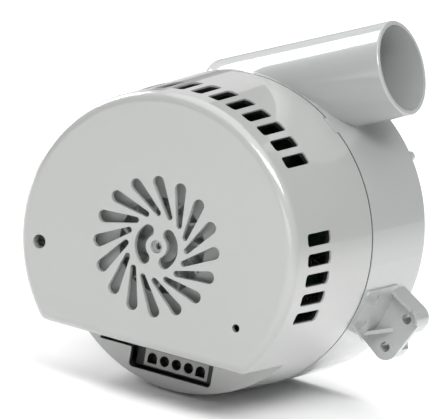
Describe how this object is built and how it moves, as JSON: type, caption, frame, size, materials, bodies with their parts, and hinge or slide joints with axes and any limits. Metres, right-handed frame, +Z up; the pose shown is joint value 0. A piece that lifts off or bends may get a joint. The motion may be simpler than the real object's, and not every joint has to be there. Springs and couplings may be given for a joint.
{
  "type": "centrifugal blower",
  "caption": "Motor-driven centrifugal blower with a vented motor cover, a round fan housing with a tangential outlet tube, and mounting ears",
  "frame": {"origin": "centre of the air inlet, on the fan housing's flat end face", "axes": "+Y along the shaft out of the inlet, -Y towards the motor cover's vented face, +Z up away from the connector, +X to the right seen from the motor cover"},
  "size_m": [0.1748, 0.1312, 0.1829],
  "materials": {
    "cover_plastic": "glossy light grey moulding",
    "housing_plastic": "glossy light grey moulding",
    "cast_alloy": "as cast, machined seats",
    "lamination_steel": "stacked laminations, lacquered",
    "enamelled_wire": "enamelled copper winding",
    "magnet": "sintered magnet, coated",
    "bearing_steel": "ground and polished",
    "cage_brass": "pressed",
    "turned_steel": "turned",
    "fan_plastic": "matt grey moulding",
    "impeller_alloy": "pressed sheet",
    "circuit_board": "green solder mask",
    "black_component": "moulded black",
    "heat_sink": "extruded, plain",
    "insert_plastic": "matt grey moulding",
    "contact_brass": "tinned brass",
    "spindle_plastic": "natural white",
    "zinc_steel": "zinc plated",
    "seal_rubber": "soft sheet"
  },
  "bodies": {
    "root": {"board_screws": "zinc_steel", "capacitors": "black_component", "choke_coil": "enamelled_wire", "connector_header": "black_component", "connector_insert": "insert_plastic", "connector_pins": "contact_brass", "control_board": "circuit_board", "fan_housing": "housing_plastic", "front_bearing_outer_ring": "bearing_steel", "front_bearing_shields": "bearing_steel", "front_bracket": "cast_alloy", "heat_sink": "heat_sink", "motor_cover": "cover_plastic", "motor_plate": "cast_alloy", "motor_screws": "zinc_steel", "plate_screws": "zinc_steel", "power_transistors": "black_component", "rear_bearing_outer_ring": "bearing_steel", "rear_bearing_shields": "bearing_steel", "return_guide": "impeller_alloy", "rim_gasket": "seal_rubber", "rim_seal": "seal_rubber", "stage_cup": "impeller_alloy", "stator_coils": "enamelled_wire", "stator_core": "lamination_steel", "trim_pot": "black_component"},
    "rotor": {"shaft": "turned_steel", "rotor_core": "lamination_steel", "rotor_magnets": "magnet", "front_bearing_inner_ring": "bearing_steel", "rear_bearing_inner_ring": "bearing_steel", "cooling_fan": "fan_plastic", "first_impeller": "impeller_alloy", "second_impeller": "impeller_alloy", "bearing_sleeve": "turned_steel", "impeller_sleeve": "turned_steel", "impeller_washer": "turned_steel", "impeller_nut": "turned_steel"},
    "front_ball_set": {"front_bearing_balls": "bearing_steel", "front_bearing_cage": "cage_brass"},
    "rear_ball_set": {"rear_bearing_balls": "bearing_steel", "rear_bearing_cage": "cage_brass"},
    "trim_stem": {"trim_spindle": "spindle_plastic"}
  },
  "joints": [
    {"name": "rotor_spin", "type": "hinge", "parent": "root", "child": "rotor", "pos_m": [0, 0, 0], "axis": [0, 1, 0], "continuous": true},
    {"name": "front_balls_spin", "type": "hinge", "parent": "root", "child": "front_ball_set", "pos_m": [0, 0, 0], "axis": [0, 1, 0], "continuous": true},
    {"name": "rear_balls_spin", "type": "hinge", "parent": "root", "child": "rear_ball_set", "pos_m": [0, 0, 0], "axis": [0, 1, 0], "continuous": true},
    {"name": "trim_turn", "type": "hinge", "parent": "root", "child": "trim_stem", "pos_m": [-0.0594, 0, -0.0123], "axis": [0, 1, 0], "range_deg": [-135, 135]}
  ],
  "couplings": [
    {"joint": "front_balls_spin", "follows": "rotor_spin", "ratio": 0.37},
    {"joint": "rear_balls_spin", "follows": "rotor_spin", "ratio": 0.37}
  ]
}
